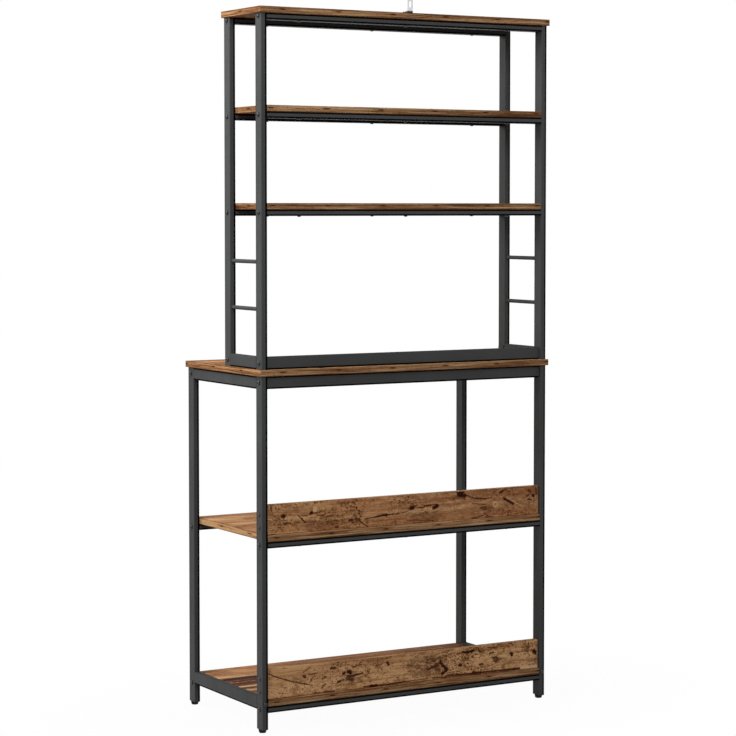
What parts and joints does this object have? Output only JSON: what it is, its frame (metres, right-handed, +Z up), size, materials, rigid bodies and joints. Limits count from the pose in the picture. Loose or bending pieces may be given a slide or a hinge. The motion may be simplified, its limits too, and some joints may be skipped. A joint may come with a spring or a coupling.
{
  "type": "kitchen rack",
  "caption": "Open kitchen rack with a deep shelved base, a worktop and a shallow hutch flush with the back; dark steel tube frame, rustic wooden boards.",
  "frame": {"origin": "on the floor, under the middle of the worktop", "axes": "+X along the rack to the right as seen from the front, +Y to the back, +Z up"},
  "size_m": [0.8, 0.4, 1.7135],
  "materials": {
    "frame_steel": "satin charcoal powder coat",
    "board_wood": "warm brown aged-wood decor with knots and worm holes",
    "black_fastener": "black coated steel",
    "foot_plastic": "moulded black",
    "insert_plastic": "moulded black",
    "zinc_thread": "zinc plated",
    "pale_bracket": "pale grey coated steel",
    "pad_rubber": "black"
  },
  "bodies": {
    "rack": {"anti_tip_bracket": "pale_bracket", "anti_tip_pad": "pad_rubber", "anti_tip_screw": "black_fastener", "bottom_fence": "board_wood", "bottom_rail_front": "frame_steel", "bottom_rail_rear": "frame_steel", "bottom_shelf": "board_wood", "bottom_side_rail_left": "frame_steel", "bottom_side_rail_right": "frame_steel", "bracket_screws": "black_fastener", "fence_screws": "black_fastener", "frame_bolts": "black_fastener", "hutch_base_rail_rear": "frame_steel", "hutch_base_side_rail_left": "frame_steel", "hutch_base_side_rail_right": "frame_steel", "hutch_bracket_left": "frame_steel", "hutch_bracket_right": "frame_steel", "hutch_fixing_bolts": "black_fastener", "hutch_fixing_nuts": "zinc_thread", "hutch_lower_rail_front": "frame_steel", "hutch_lower_rail_rear": "frame_steel", "hutch_lower_shelf": "board_wood", "hutch_post_front_left": "frame_steel", "hutch_post_front_right": "frame_steel", "hutch_post_rear_left": "frame_steel", "hutch_post_rear_right": "frame_steel", "hutch_rod_left_lower": "frame_steel", "hutch_rod_left_upper": "frame_steel", "hutch_rod_right_lower": "frame_steel", "hutch_rod_right_upper": "frame_steel", "hutch_upper_rail_front": "frame_steel", "hutch_upper_rail_rear": "frame_steel", "hutch_upper_shelf": "board_wood", "leg_front_left": "frame_steel", "leg_front_right": "frame_steel", "leg_inserts": "insert_plastic", "leg_rear_left": "frame_steel", "leg_rear_right": "frame_steel", "middle_fence": "board_wood", "middle_rail_front": "frame_steel", "middle_rail_rear": "frame_steel", "middle_shelf": "board_wood", "rail_end_plugs": "zinc_thread", "shelf_screws": "black_fastener", "side_rail_bolts": "black_fastener", "top_board": "board_wood", "top_rail_front": "frame_steel", "top_rail_rear": "frame_steel", "worktop": "board_wood", "worktop_rail_front": "frame_steel", "worktop_rail_rear": "frame_steel", "worktop_screws": "black_fastener", "worktop_side_rail_left": "frame_steel", "worktop_side_rail_right": "frame_steel"},
    "foot_front_left": {"foot_pad_front_left": "foot_plastic", "foot_stem_front_left": "zinc_thread"},
    "foot_front_right": {"foot_pad_front_right": "foot_plastic", "foot_stem_front_right": "zinc_thread"},
    "foot_rear_left": {"foot_pad_rear_left": "foot_plastic", "foot_stem_rear_left": "zinc_thread"},
    "foot_rear_right": {"foot_pad_rear_right": "foot_plastic", "foot_stem_rear_right": "zinc_thread"}
  },
  "joints": [
    {"name": "foot_front_left_screw", "type": "slide", "parent": "rack", "child": "foot_front_left", "axis": [0, 0, -1], "range_m": [0, 0.008]},
    {"name": "foot_front_right_screw", "type": "slide", "parent": "rack", "child": "foot_front_right", "axis": [0, 0, -1], "range_m": [0, 0.008]},
    {"name": "foot_rear_left_screw", "type": "slide", "parent": "rack", "child": "foot_rear_left", "axis": [0, 0, -1], "range_m": [0, 0.008]},
    {"name": "foot_rear_right_screw", "type": "slide", "parent": "rack", "child": "foot_rear_right", "axis": [0, 0, -1], "range_m": [0, 0.008]}
  ]
}
